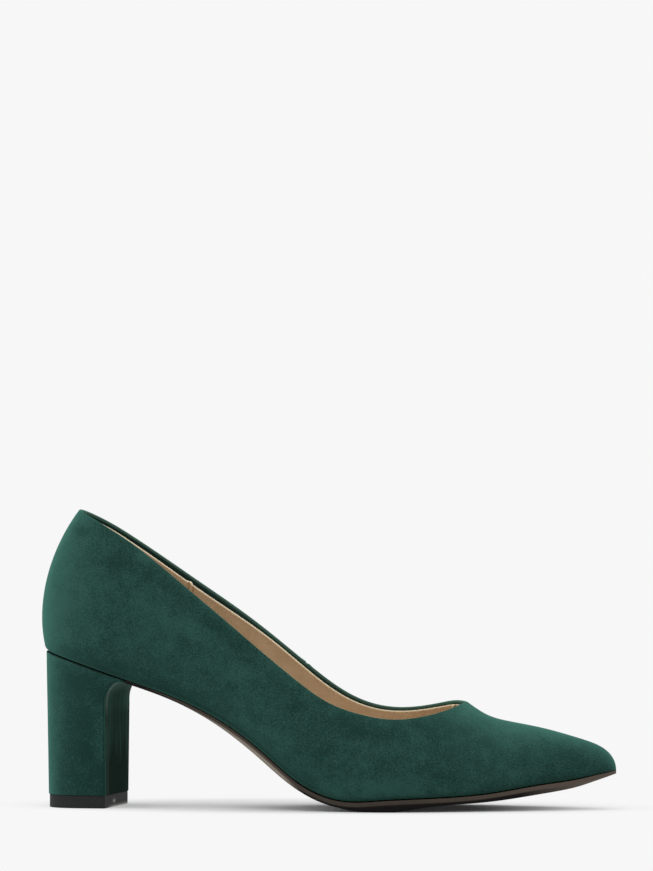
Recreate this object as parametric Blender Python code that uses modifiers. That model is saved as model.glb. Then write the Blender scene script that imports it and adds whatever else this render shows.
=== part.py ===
"""Right-foot suede court shoe with a pointed toe and a covered block heel, standing on a floor.

Frame: +X runs from the heel to the toe, +Y to the inner side of the foot, +Z up. The origin is on the
floor under the middle of the shoe. Sizes below are millimetres; the meshes are metres.

The shape is that of a shoemaker's last. A station is a distance along the shoe from the back of the heel.
At each station the upper's outside is one curve on each side, from the edge of the sole up to the crest.
"""

from collections import namedtuple

import bmesh
import bpy
import numpy as np

MM = 0.001

# Driving sizes, in millimetres.
LENGTH = 246.0             # station of the toe tip; the heel cup bulges a little behind station 0
MIDDLE_SIDE = -0.4         # middle of the whole width, beside the centre line of the heel
HEEL_STATION = 34.0        # widest place of the heel cup, where its round back begins
THROAT_STATION = 183.0     # front point of the opening
WALL = 1.8                 # suede, stiffener and lining together
FULL_WALL_ABOVE = 6.0      # half-width of the toe under which the wall thins towards the very tip
THINNEST_WALL = 0.05       # and the share of it that is left there
LASTING_MARGIN = 8.0       # upper turned in under the insole
FEATHER_RADIUS = 2.5       # round edge between the side and the turned-in margin
MARGIN_CLOSES_BELOW = 8.0  # half-width of the toe under which the margins of both sides meet
GAP = 0.3                  # between pieces that are cemented together

ARCH_RISE = 3.2            # how much higher the inner edge runs under the arch of the foot
ARCH_FROM = 45.0
ARCH_TO = 140.0

INSOLE_THICKNESS = 2.0
INSOLE_INSET = 2.7         # insole edge inside the outline of the last
INSOLE_CHAMFER = 1.0       # its lower edge is broken to clear the round inside of the upper
INSOLE_EDGE_SHARE = 0.5    # share of the insole's thickness with an upright edge
INSOLE_TOE_INSET = 6.0     # insole tip behind the toe tip
FULL_INSET_ABOVE = 18.0    # half-width of the toe under which insets shrink with it

SOLE_REAR_STATION = 40.0   # the sole starts in front of the heel's lip
SOLE_PROUD = 0.5           # sole edge outside the outline of the last
SOLE_WAIST_INSET = 2.2     # and how far inside it lies in the narrow waist
SOLE_NARROW_TO = 75.0      # station up to which the sole is at its narrowest
SOLE_FULL_FROM = 135.0     # station from which it is at its full width
SOLE_EDGE_SHARE = 0.6      # share of the sole's thickness with an upright edge
SOLE_EDGE_BEVEL = 1.4      # how far the underside is narrower than the top

TIP_HEIGHT = 5.5           # rubber top piece under the heel
TIP_INSET = 0.4            # top piece edge inside the heel cover
TIP_CHAMFER = 0.5
HEEL_HALF_WIDTH_LOW = 22.0
HEEL_HALF_WIDTH_HIGH = 24.4
HEEL_REAR_LOW = 3.4        # stations of the back of the block
HEEL_REAR_HIGH = 1.5
HEEL_ROUND_LOW = 24.0      # stations where the round back of the block begins
HEEL_POWER_LOW = 2.6       # above 2 the round back is squarer than an ellipse
BREAST_STATION = 32.2      # upright front face of the block
BREAST_FLARE = 7.5         # the face then curves forward to the sole
BREAST_FLARE_START = 0.76  # share of the block's height where it starts to curve
BREAST_LIP = 1.0           # thickness left at the front of the curve
BREAST_SKEW = 0.035        # slope by which the face is turned to the outer side

# Steps of the meshes.
WELD = 0.01                # points closer than this are one
SHARP_ANGLE = 50           # degrees between faces from which an edge is drawn sharp
THROAT_CROWDING = 1.8      # power by which columns crowd towards the throat
HEEL_STEPS = 8
SIDE_STEPS = 26
VAMP_STEPS = 14
WALL_STEPS = 11
ACROSS_STEPS = 6

# One row for each cross-section. Half-widths are measured from the centre line, heights from the edge of
# the sole. The side curve starts at the feather edge, heads for the bulge, is pulled to the shoulder and
# ends at the crest. The shoulder lies shoulder_drop below the crest.
Section = namedtuple(
    "Section", "station centre feather bulge_out bulge_up shoulder shoulder_drop crest crest_up"
)
SECTIONS = (
    Section(34.0, 0.0, 25.0, 6.5, 18.0, 26.5, 28.0, 14.0, 74.0),
    Section(60.0, -0.5, 23.5, 7.5, 17.0, 29.0, 26.0, 17.0, 68.0),
    Section(85.0, -2.0, 22.5, 9.0, 16.0, 30.5, 25.0, 15.0, 66.0),
    Section(110.0, -3.0, 26.0, 9.0, 17.0, 32.0, 23.0, 11.0, 66.0),
    Section(130.0, -2.6, 31.5, 7.5, 18.0, 32.5, 20.0, 7.0, 66.0),
    Section(150.0, -0.7, 35.5, 6.0, 19.0, 31.0, 12.0, 3.0, 57.5),
    Section(170.0, 1.7, 34.3, 5.0, 18.0, 26.0, 4.5, 0.5, 47.5),
    Section(183.0, 3.2, 31.2, 4.5, 16.5, 21.0, 2.4, 0.0, 38.7),
    Section(190.0, 3.8, 28.9, 4.2, 15.0, 18.2, 0.8, 0.0, 33.4),
    Section(200.0, 4.3, 25.2, 3.8, 13.2, 15.0, 0.0, 0.0, 28.8),
    Section(215.0, 4.6, 19.5, 3.0, 11.2, 11.5, 0.0, 0.0, 23.3),
    Section(230.0, 4.8, 13.0, 2.2, 8.6, 8.0, 0.0, 0.0, 17.0),
    Section(240.0, 4.9, 8.2, 1.4, 5.6, 5.0, 0.0, 0.0, 11.1),
    Section(246.0, 5.0, 0.0, 0.0, 0.0, 0.0, 0.0, 0.0, 0.0),
)

# Side view of the bottom: height of the edge of the sole above the floor, and thickness of the outsole.
Bottom = namedtuple("Bottom", "station height sole")
BOTTOM = (
    Bottom(0.0, 67.5, 1.0),
    Bottom(20.0, 61.2, 1.0),
    Bottom(40.0, 54.5, 1.0),
    Bottom(60.0, 47.4, 1.1),
    Bottom(80.0, 37.8, 2.0),
    Bottom(100.0, 23.8, 2.6),
    Bottom(112.0, 14.0, 2.4),
    Bottom(124.0, 7.3, 2.5),
    Bottom(136.0, 4.4, 3.0),
    Bottom(150.0, 4.8, 4.9),
    Bottom(170.0, 5.8, 3.5),
    Bottom(195.0, 7.6, 3.2),
    Bottom(215.0, 10.9, 3.6),
    Bottom(230.0, 13.1, 3.0),
    Bottom(246.0, 16.5, 1.3),
)

# Side view of the opening: height of its edge above the floor on the outer and the inner side.
Topline = namedtuple("Topline", "station outer inner")
TOPLINE = (
    Topline(16.0, 126.9, 126.9),
    Topline(26.0, 121.9, 121.2),
    Topline(42.0, 112.2, 110.9),
    Topline(62.0, 97.0, 97.1),
    Topline(86.0, 77.5, 80.6),
    Topline(112.0, 56.3, 60.2),
    Topline(128.0, 45.4, 48.5),
    Topline(142.0, 40.4, 42.9),
    Topline(156.0, 38.3, 42.1),
    Topline(170.0, 40.0, 44.3),
    Topline(179.0, 43.0, 45.5),
    Topline(183.0, 45.1, 45.1),
)

# Stations of the back seam line, from the feather edge to the crest, as the four points of its curve.
BACK_CURVE = (0.7, -2.9, 1.6, 22.0)

OUTER, INNER = -1.0, 1.0


# Curves

def spline(knots, values, at, flat_start=False):
    """Natural cubic spline through the values at the knots, level at the first knot if flat_start is set."""
    knots, values, at = np.asarray(knots), np.asarray(values), np.asarray(at, float)
    steps = np.diff(knots)
    slopes = np.diff(values) / steps
    system = np.eye(len(knots))
    right = np.zeros(len(knots))
    for i in range(1, len(knots) - 1):
        system[i, i - 1:i + 2] = steps[i - 1], 2 * (steps[i - 1] + steps[i]), steps[i]
        right[i] = 6 * (slopes[i] - slopes[i - 1])
    if flat_start:
        system[0, :2] = 2 * steps[0], steps[0]
        right[0] = 6 * slopes[0]
    bend = np.linalg.solve(system, right)
    i = np.clip(np.searchsorted(knots, at) - 1, 0, len(knots) - 2)
    after, before, step = at - knots[i], knots[i + 1] - at, steps[i]
    cubic = (bend[i] * before**3 + bend[i + 1] * after**3) / (6 * step)
    left = (values[i] / step - bend[i] * step / 6) * before
    return cubic + left + (values[i + 1] / step - bend[i + 1] * step / 6) * after


def column(table, name):
    """One named column of a table, as an array."""
    return np.array([getattr(row, name) for row in table])


def toe_angle(station):
    """Station as an angle whose cosine slows towards the toe, so that widths ending at 0 make a round tip."""
    return np.arccos(np.clip(1 - 2 * np.asarray(station, float) / LENGTH, -1, 1))


def section(name, station):
    """One measure of the cross-sections at any station from the heel cup's widest place to the toe."""
    return spline(toe_angle(column(SECTIONS, "station")), column(SECTIONS, name), toe_angle(station), True)


def bottom(name, station):
    """One measure of the bottom's side view at any station."""
    return spline(column(BOTTOM, "station"), column(BOTTOM, name), station)


def topline(station, side):
    """Height of the opening's edge at any station behind the throat, on one side."""
    return spline(column(TOPLINE, "station"), column(TOPLINE, "outer" if side == OUTER else "inner"), station)


def bezier(start, first, second, end, share):
    """Cubic curve from start to end, pulled by two handles."""
    rest = 1 - share
    return start * rest**3 + 3 * first * share * rest**2 + 3 * second * share**2 * rest + end * share**3


# The last

def edge_height(station, across):
    """Height of the bottom at a station; across is -1 at the outer edge and 1 at the inner one."""
    share = np.clip((station - ARCH_FROM) / (ARCH_TO - ARCH_FROM), 0, 1)
    arch = ARCH_RISE * np.sin(np.pi * share) ** 2
    return bottom("height", station) + arch * (1 + across) / 2


def stretch(station):
    """Upright height of a layer of unit thickness that lies on the slope of the bottom."""
    slope = bottom("height", station + 0.5) - bottom("height", station - 0.5)
    return np.sqrt(1 + slope**2)


def heel_turn(run):
    """Angle round the heel cup: 0 on the back seam line and a right angle from the heel station forward."""
    return np.clip(run / HEEL_STATION, 0, 1) * np.pi / 2


def skin(run, level, side):
    """Points of the upper's outside on one side.

    run is the station, but behind the heel station it turns round the back of the heel cup instead.
    level is -2 at the edge of the turned-in margin, -1 where it starts to round, 0 at the foot of the
    side and 1 at the crest.
    """
    run, level = np.broadcast_arrays(np.asarray(run, float), np.asarray(level, float))
    widest = np.maximum(run, HEEL_STATION)
    turn = heel_turn(run)
    feather = np.maximum(section("feather", widest), 0)
    shrink = np.clip(feather / MARGIN_CLOSES_BELOW, 0, 1)
    radius, margin = FEATHER_RADIUS * shrink, LASTING_MARGIN * shrink
    vamp = widest >= THROAT_STATION
    crest_up = section("crest_up", widest)
    crest = np.where(vamp, 0, section("crest", widest))
    drop = np.maximum(section("shoulder_drop", widest), 0)

    share = np.clip(level, 0, 1)
    bulge = feather + section("bulge_out", widest)
    wall = bezier(feather, bulge, section("shoulder", widest), crest, share)
    rise = bezier(radius, section("bulge_up", widest), crest_up - drop, crest_up, share)
    rounding = np.clip(level + 1, 0, 1) * np.pi / 2
    inset = radius * (1 - np.sin(rounding)) + (margin - radius) * np.clip(-1 - level, 0, 1)
    lift = np.where(level < 0, radius * (1 - np.cos(rounding)), rise)

    back = bezier(*BACK_CURVE, share) + inset
    station = np.where(run < HEEL_STATION, HEEL_STATION - (HEEL_STATION - back) * np.cos(turn), run)
    half = (wall - inset) * np.sin(turn)
    height = edge_height(station, side * (1 - inset / np.maximum(feather, GAP))) + lift
    return np.stack([station, section("centre", widest) + side * half, height], axis=-1)


def top_level(run, side, samples=400):
    """Level at which the side ends: the opening's edge behind the throat, and the crest in front of it."""
    if run >= THROAT_STATION:
        return 1.0
    levels = np.linspace(0, 1, samples)
    points = skin(run, levels, side)
    short = topline(points[:, 0], side) - points[:, 2]
    return float(np.interp(0.0, -short, levels))


def outline(station, inset, toe_inset=0.0):
    """Outer and inner y of the last's edge at a station, moved in by inset and shorter at the toe."""
    share = np.clip((station - HEEL_STATION) / (LENGTH - toe_inset - HEEL_STATION), 0, 1)
    at = np.clip(station + toe_inset * share**3, HEEL_STATION, LENGTH)
    feather = np.maximum(section("feather", at), 0)
    feather = feather - inset * np.clip(feather / FULL_INSET_ABOVE, 0, 1)
    behind = np.clip((HEEL_STATION - station) / (HEEL_STATION - BACK_CURVE[0] - inset), 0, 1)
    half = feather * np.sqrt(1 - behind**2)
    return section("centre", at) - half, section("centre", at) + half


# Building meshes

def to_frame(points):
    """Station, side and height in millimetres as metres about the middle of the floor under the shoe."""
    points = np.asarray(points, float)
    return (points - np.array([LENGTH / 2, MIDDLE_SIDE, 0])) * MM


def add_object(name, grids, caps, material):
    """Makes one object from grids of points, whose rows are joined by quads, and from flat caps."""
    mesh = bmesh.new()
    for grid in grids:
        rows = [[mesh.verts.new(p) for p in to_frame(row)] for row in grid]
        for a, b in zip(rows, rows[1:]):
            for i in range(len(a) - 1):
                mesh.faces.new((a[i], b[i], b[i + 1], a[i + 1]))
    for cap in caps:
        mesh.faces.new([mesh.verts.new(p) for p in to_frame(cap)])
    bmesh.ops.remove_doubles(mesh, verts=mesh.verts, dist=WELD * MM)
    bmesh.ops.recalc_face_normals(mesh, faces=mesh.faces)
    data = bpy.data.meshes.new(name)
    mesh.to_mesh(data)
    mesh.free()
    data.shade_smooth()
    data.set_sharp_from_angle(angle=np.radians(SHARP_ANGLE))
    data.materials.append(material)
    made = bpy.data.objects.new(name, data)
    parts.objects.link(made)
    made.parent = root
    return made


def ring(points):
    """A loop of points, closed on itself."""
    return np.concatenate([points, points[:1]])


def finish(name, colour, roughness):
    """A plain material of one colour, given as linear red, green and blue."""
    made = bpy.data.materials.new(name)
    made.use_nodes = True
    shader = made.node_tree.nodes["Principled BSDF"]
    shader.inputs["Base Color"].default_value = (*colour, 1)
    shader.inputs["Roughness"].default_value = roughness
    shader.inputs["Metallic"].default_value = 0
    return made


# Pieces

def forward_stations():
    """Stations of the mesh columns in front of the heel cup, crowded at the throat and at the toe tip."""
    along_side = 1 - np.linspace(1, 0, SIDE_STEPS + 1) ** THROAT_CROWDING
    along_vamp = np.sin(np.linspace(0, np.pi / 2, VAMP_STEPS + 1)[1:])
    return np.concatenate([
        HEEL_STATION + (THROAT_STATION - HEEL_STATION) * along_side,
        THROAT_STATION + (LENGTH - THROAT_STATION) * along_vamp,
    ])


def make_upper(material):
    """Suede upper: the last's surface from the turned-in margin to the opening, thickened inwards."""
    round_heel = np.linspace(0, HEEL_STATION, HEEL_STEPS + 1)[:-1]
    grids = []
    for side in (OUTER, INNER):
        grid = []
        for run in np.concatenate([round_heel, forward_stations()]):
            top = top_level(run, side if run > 0 else OUTER)
            wall = np.linspace(0, top, WALL_STEPS + 1)
            grid.append(skin(run, np.concatenate([[-2, -1, -0.5], wall]), side))
        grids.append(grid if side == OUTER else [row[::-1] for row in grid])
    upper = add_object("upper", grids, [], material)
    toe_tip = upper.vertex_groups.new(name="wall_share")
    for vertex in upper.data.vertices:
        feather = section("feather", max(vertex.co.x / MM + LENGTH / 2, HEEL_STATION))
        toe_tip.add([vertex.index], float(np.clip(feather / FULL_WALL_ABOVE, THINNEST_WALL, 1)), "REPLACE")
    thickness = upper.modifiers.new("wall", "SOLIDIFY")
    thickness.thickness = WALL * MM
    thickness.offset = -1
    thickness.use_even_offset = True
    thickness.vertex_group = toe_tip.name
    return upper


def slab(name, stations, inset_top, inset_low, toe_inset, top, low, edge, material):
    """A sheet that follows the bottom: cross-sections with an upright edge and a bevel under it."""
    across = np.linspace(-1, 1, ACROSS_STEPS + 1)
    rings = []
    for k, station in enumerate(stations):
        sides = [outline(station, inset, toe_inset) for inset in (inset_top[k], inset_low[k])]
        upper_y, lower_y = [(a + b) / 2 + across * (b - a) / 2 for a, b in sides]
        upper_z, lower_z = top(station, across), low(station, across)
        side_z = upper_z + (lower_z - upper_z) * edge
        ys = np.concatenate([upper_y, upper_y[-1:], lower_y[::-1], upper_y[:1]])
        zs = np.concatenate([upper_z, side_z[-1:], lower_z[::-1], side_z[:1]])
        rings.append(ring(np.stack([np.full_like(ys, station), ys, zs], axis=-1)))
    caps = [rings[0][:-1]] if np.ptp(rings[0][:, 1]) > GAP else []
    return add_object(name, [rings], caps, material)


def make_insole(material):
    """Insole board with its sock, lying on the turned-in margin inside the upper."""
    reach = HEEL_STATION - BACK_CURVE[0] - INSOLE_INSET
    shorter = (LENGTH - INSOLE_TOE_INSET - HEEL_STATION) / (LENGTH - HEEL_STATION)
    stations = np.concatenate([
        HEEL_STATION - reach * np.cos(np.linspace(0, np.pi / 2, HEEL_STEPS + 1)[:-1]),
        HEEL_STATION + (forward_stations() - HEEL_STATION) * shorter,
    ])
    inset = np.full_like(stations, INSOLE_INSET)

    def low(station, across):
        return edge_height(station, across) + (WALL + GAP) * stretch(station)

    def top(station, across):
        return low(station, across) + INSOLE_THICKNESS * stretch(station)

    inset_low = inset + INSOLE_CHAMFER
    return slab(
        "insole", stations, inset, inset_low, INSOLE_TOE_INSET, top, low, INSOLE_EDGE_SHARE, material
    )


def make_outsole(material):
    """Outsole from the heel's lip to the toe, thin in the waist, with a flat place under the ball."""
    stations = forward_stations()
    stations = np.concatenate([[SOLE_REAR_STATION], stations[stations > SOLE_REAR_STATION + 1]])
    waist = np.clip((SOLE_FULL_FROM - stations) / (SOLE_FULL_FROM - SOLE_NARROW_TO), 0, 1)
    inset_top = -SOLE_PROUD + (SOLE_PROUD + SOLE_WAIST_INSET) * waist
    inset_low = inset_top + SOLE_EDGE_BEVEL

    def top(station, across):
        return edge_height(station, across) - GAP * stretch(station)

    def low(station, across):
        return np.maximum(top(station, across) - bottom("sole", station) * stretch(station), 0)

    return slab("outsole", stations, inset_top, inset_low, 0.0, top, low, SOLE_EDGE_SHARE, material)


def block_outline(share, inset=0.0):
    """Plan of the heel block at a share of its height: straight sides and a round back, corner to corner.

    A shear that fades out at the round back turns the front face. Up the curve to the sole it fades out too.
    """
    rear = HEEL_REAR_LOW + (HEEL_REAR_HIGH - HEEL_REAR_LOW) * share + inset
    half = HEEL_HALF_WIDTH_LOW + (HEEL_HALF_WIDTH_HIGH - HEEL_HALF_WIDTH_LOW) * share - inset
    power = HEEL_POWER_LOW + (2 - HEEL_POWER_LOW) * share
    lip_start = 1 - BREAST_LIP / (bottom("height", SOLE_REAR_STATION) - TIP_HEIGHT)
    curve = np.clip((share - BREAST_FLARE_START) / (lip_start - BREAST_FLARE_START), 0, 1)
    front = BREAST_STATION + BREAST_FLARE * (1 - np.sqrt(1 - curve**2)) - inset
    begin = min(HEEL_ROUND_LOW + (HEEL_STATION - HEEL_ROUND_LOW) * share, front - BREAST_SKEW * half - GAP)
    turn = np.linspace(np.pi / 2, 0, HEEL_STEPS + 1)
    round_s = begin - (begin - rear) * np.cos(turn) ** (2 / power)
    round_y = half * np.sin(turn) ** (2 / power)
    side_s = np.linspace(front, begin, 3)[:-1]
    stations = np.concatenate([side_s, round_s])
    halves = np.concatenate([np.full_like(side_s, half), round_y])
    stations = np.concatenate([stations, stations[-2::-1]])
    ys = np.concatenate([-halves, halves[-2::-1]])
    ahead = np.clip((stations - begin) / (front - begin), 0, 1)
    return stations + BREAST_SKEW * (1 - curve) * ys * ahead, ys


def make_heel(material):
    """Covered block heel: round at the back, with a flat breast that curves forward into the sole."""
    low = TIP_HEIGHT + GAP
    upright = np.linspace(0, BREAST_FLARE_START, 5)
    curved = BREAST_FLARE_START + (1 - BREAST_FLARE_START) * np.sin(np.linspace(0, np.pi / 2, 8)[1:])
    rings = []
    for share in np.concatenate([upright, curved]):
        stations, ys = block_outline(share)
        heights = low + share * (bottom("height", stations) - GAP - low)
        rings.append(ring(np.stack([stations, ys, heights], axis=-1)))
    top = rings[-1][:-1]
    middle = len(top) // 2
    seat = [top[:middle + 1], top[:middle - 1:-1]]
    return add_object("heel", [rings, seat], [rings[0][:-1]], material)


def make_heel_tip(material):
    """Rubber top piece that the heel stands on, with its lower edge broken."""
    levels = ((0.0, TIP_INSET + TIP_CHAMFER), (TIP_CHAMFER, TIP_INSET), (TIP_HEIGHT, TIP_INSET))
    rings = []
    for height, inset in levels:
        stations, ys = block_outline(0.0, inset)
        rings.append(ring(np.stack([stations, ys, np.full_like(ys, height)], axis=-1)))
    return add_object("heel_tip", [rings], [rings[0][:-1], rings[-1][:-1]], material)


for old in list(bpy.data.objects):
    bpy.data.objects.remove(old)
parts = bpy.data.collections.new("suede_pump")
bpy.context.scene.collection.children.link(parts)
root = bpy.data.objects.new("suede_pump_frame", None)
parts.objects.link(root)

suede = finish("green_suede", (0.022, 0.075, 0.060), 0.95)
sock = finish("beige_lining_leather", (0.42, 0.27, 0.15), 0.55)
sole_rubber = finish("dark_brown_sole", (0.035, 0.030, 0.026), 0.6)
tip_rubber = finish("black_top_piece", (0.018, 0.018, 0.017), 0.5)

make_upper(suede)
make_insole(sock)
make_outsole(sole_rubber)
make_heel(suede)
make_heel_tip(tip_rubber)
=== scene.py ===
"""Looks of a right-foot suede court shoe with a pointed toe and a covered block heel.

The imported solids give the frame: +X runs from the heel to the toe, +Y to the inner side of the foot, +Z up,
and the origin is on the floor under the middle of the shoe. Sizes are millimetres, and the meshes are metres.
Every piece is a surface over the same last as the solids: a station is a distance from the back of the heel.
"""

from collections import namedtuple

import bmesh
import bpy
import numpy as np
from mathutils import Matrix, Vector


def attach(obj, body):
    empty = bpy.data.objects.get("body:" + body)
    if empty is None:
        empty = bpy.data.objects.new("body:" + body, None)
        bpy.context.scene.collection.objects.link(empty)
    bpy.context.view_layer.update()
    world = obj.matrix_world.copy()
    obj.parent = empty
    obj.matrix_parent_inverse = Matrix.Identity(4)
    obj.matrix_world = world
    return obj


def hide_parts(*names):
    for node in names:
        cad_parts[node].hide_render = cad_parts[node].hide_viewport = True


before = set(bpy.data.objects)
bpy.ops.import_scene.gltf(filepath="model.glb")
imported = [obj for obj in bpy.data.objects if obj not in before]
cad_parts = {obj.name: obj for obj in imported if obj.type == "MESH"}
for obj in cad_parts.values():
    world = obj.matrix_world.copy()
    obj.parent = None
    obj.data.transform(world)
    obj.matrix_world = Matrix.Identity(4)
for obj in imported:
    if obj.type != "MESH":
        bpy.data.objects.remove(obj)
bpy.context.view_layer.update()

MM = 0.001
OUTER, INNER = -1.0, 1.0

# Sizes of the last and of the pieces around it, the same as those of the solids.
LENGTH = 246.0
MIDDLE_SIDE = -0.4
HEEL_STATION = 34.0
THROAT_STATION = 183.0
LASTING_MARGIN = 8.0
FEATHER_RADIUS = 2.5
MARGIN_CLOSES_BELOW = 8.0
FULL_WALL_ABOVE = 6.0
THINNEST_WALL = 0.05
GAP = 0.3
WALL = 1.8
ARCH_RISE = 3.2
ARCH_FROM = 45.0
ARCH_TO = 140.0
INSOLE_THICKNESS = 2.0
INSOLE_INSET = 2.7
INSOLE_CHAMFER = 1.0
INSOLE_TOE_INSET = 6.0
FULL_INSET_ABOVE = 18.0
SOLE_REAR_STATION = 40.0
SOLE_PROUD = 0.5
SOLE_WAIST_INSET = 2.2
SOLE_NARROW_TO = 75.0
SOLE_FULL_FROM = 135.0
SOLE_EDGE_SHARE = 0.6
SOLE_EDGE_BEVEL = 1.4
TIP_HEIGHT = 5.5
TIP_INSET = 0.4
HEEL_HALF_WIDTH = (22.0, 24.4)  # at the bottom and the top, like the next three
HEEL_REAR = (3.4, 1.5)
HEEL_ROUND = (24.0, HEEL_STATION)
HEEL_POWER = (2.6, 2.0)
BREAST_STATION = 32.2
BREAST_FLARE = 7.5
BREAST_FLARE_START = 0.76
BREAST_LIP = 1.0
BREAST_SKEW = 0.035

# What the looks add to them.
SUEDE = 1.0  # thickness of the suede
LINING = 0.65  # thickness of the lining leather
CEMENT = 0.05  # between the heel cover and the top piece
LINING_GAP = 0.05  # between the suede and the lining
FOLD_BAND = 0.5  # the nap goes on this far over the fold, and then painted shade darkens the recessed inside of the fold
FOLD_BLEND = 0.3  # half the width over which the one turns into the other
CUT_BAND = 0.5  # the lining is cream this far below its cut edge
HEEL_CORNER = 1.1  # round of the heel cover over the edges of the breast
HEEL_EDGE = 0.3  # round of the heel cover at its bottom
HEEL_TOP_EDGE = 0.4  # and at its top
TIP_EDGE = 0.2  # broken edge of the top piece
TIP_CORNER = 0.4  # round of the top piece at the ends of its front
SOLE_EDGE_ROUND = 0.3  # round of the sole's upper edge
SOLE_ROUND_SHARE = 0.1  # and its share of the sole's thickness
SOLE_CLOSED = 0.9  # share of the gap over the sole that is closed at the waist and the toe
SOLE_BAND = 1.7  # height of the waxed band on the sole's edge
SOLE_BAND_SHARE = 0.75  # and most of it where the sole is thin
SOLE_WAIST_LIP = 1.2  # how far the sole's edge stands out under the waist
SOLE_REAR_DARK = 0.9  # share of the waxed band that is dark next to the heel
SOCK_ROUND = 0.7  # round of the sock's edge
SOCK_ROUND_SHARE = 0.35  # and its share of the sock's thickness
SOCK_UPRIGHT_SHARE = 0.6  # the share down to which the edge is upright
MARGIN_SHADE = 0.5  # painted shade on pressed suede out of the light, as a share of the way to near black
FOOT_SHADE = 0.45  # the same for the painted shade on the foot of the upper in front of the heel


def table(columns, *rows):
    """Rows of numbers as named columns."""
    return namedtuple("Table", columns)(*np.transpose(rows))


SECTIONS = table(
    "station centre feather bulge_out bulge_up shoulder shoulder_drop crest crest_up",
    (34, 0, 25, 6.5, 18, 26.5, 28, 14, 74),
    (60, -0.5, 23.5, 7.5, 17, 29, 26, 17, 68),
    (85, -2, 22.5, 9, 16, 30.5, 25, 15, 66),
    (110, -3, 26, 9, 17, 32, 23, 11, 66),
    (130, -2.6, 31.5, 7.5, 18, 32.5, 20, 7, 66),
    (150, -0.7, 35.5, 6, 19, 31, 12, 3, 57.5),
    (170, 1.7, 34.3, 5, 18, 26, 4.5, 0.5, 47.5),
    (183, 3.2, 31.2, 4.5, 16.5, 21, 2.4, 0, 38.7),
    (190, 3.8, 28.9, 4.2, 15, 18.2, 0.8, 0, 33.4),
    (200, 4.3, 25.2, 3.8, 13.2, 15, 0, 0, 28.8),
    (215, 4.6, 19.5, 3, 11.2, 11.5, 0, 0, 23.3),
    (230, 4.8, 13, 2.2, 8.6, 8, 0, 0, 17),
    (240, 4.9, 8.2, 1.4, 5.6, 5, 0, 0, 11.1),
    (246, 5, 0, 0, 0, 0, 0, 0, 0),
)

BOTTOM = table(
    "station height sole",
    (0, 67.5, 1),
    (20, 61.2, 1),
    (40, 54.5, 1),
    (60, 47.4, 1.1),
    (80, 37.8, 2),
    (100, 23.8, 2.6),
    (112, 14, 2.4),
    (124, 7.3, 2.5),
    (136, 4.4, 3),
    (150, 4.8, 4.9),
    (170, 5.8, 3.5),
    (195, 7.6, 3.2),
    (215, 10.9, 3.6),
    (230, 13.1, 3),
    (246, 16.5, 1.3),
)

TOPLINE = table(
    "station outer inner",
    (16, 126.9, 126.9),
    (26, 121.9, 121.2),
    (42, 112.2, 110.9),
    (62, 97, 97.1),
    (86, 77.5, 80.6),
    (112, 56.3, 60.2),
    (128, 45.4, 48.5),
    (142, 40.4, 42.9),
    (156, 38.3, 42.1),
    (170, 40, 44.3),
    (179, 43, 45.5),
    (183, 45.1, 45.1),
)

BACK_CURVE = (0.7, -2.9, 1.6, 22.0)

# How far the lining's cut edge lies below the folded edge of the suede.
LINING_EDGE = table(
    "station drop",
    (0, 2),
    (40, 2),
    (68, 2.4),
    (84, 2),
    (98, 1.4),
    (118, 1.6),
    (138, 1.3),
    (156, 0.9),
    (190, 1.1),
)

# Stretches of the shoe, each as the stations where it starts, is full, begins to fade and ends.
COLLAR_CREASE = (12, 30, 115, 140)  # soft crease below the opening's edge
WAIST = (36, 46, 108, 118)  # light gets at the turned-in margin there, and the sole lies close to it
BARE_EDGE = (62, 80, 108, 118)  # where the wax is off the lower edge of the sole

# Smooth changes, each as the two places where it starts and is complete.
SOLE_CLOSES = (228, 240)  # stations: the sole comes up to the upper at the toe
SOLE_CLEARS = (46, 66)  # stations: the sole's edge is dark behind them, next to the heel
FOOT_CLEARS = (38, 50)  # stations: the painted shade on the foot of the upper is full behind them, over the heel
FOOT_FADES = (0.4, 3.0)  # heights over the bottom's edge: that painted shade fades out
FOLD_PALES = (0.3, 0.6)  # shares of the way over the fold: a painted highlight comes up on its crest
WAX_ENDS = (0.6, 1.3)  # shares of the waxed band's height: the wax goes over into the bare edge
SOLE_SIDES = (0.9, 1.0)  # shares of the sole's half width: its upright edge
BREAST_CURVES = (37, 46)  # heights: the heel's breast turns forward
BREAST_PALES = (34, 54)  # heights: painted light comes up on the breast
LIP_PALES = (48, 53)  # heights: a painted highlight comes up on its lip

# Seams that run down from the opening.
SUEDE_SEAM_STATION = 111.0
LINING_SEAM_STATION = 61.0
THROAT_SEAM_STATION = 176.5
SEAM_HALF_WIDTH = 0.95
SEAM_LEAN = 2.0  # how far the lining's seams run back on their way down
SEAM_LEAN_DEPTH = 7.0  # and how far below the edge most of that is done
SEAM_REACH = 5.0  # the mesh is finer this far around each
SEAM_STEP = 0.25
THROAT_GROOVE_STATION = 177.3

# Soft forms of the leather, each with its height, or its depth below 0, and its reach.
Form = namedtuple("Form", "height reach")
CREASE = Form(-0.3, 4.0)
CREASE_BELOW = 9.0  # the crease runs this far below the edge
SUEDE_RIDGE = Form(0.35, 1.6)
SUEDE_GROOVE = Form(-0.6, 0.5)
LINING_RIDGE = Form(0.5, 1.3)
THROAT_RIDGE = Form(0.5, 0.7)
LINING_GROOVE = Form(-0.45, 0.4)
LINING_NOTCH = Form(-0.6, 0.9)  # the lining's edge stands higher at its seam
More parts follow.
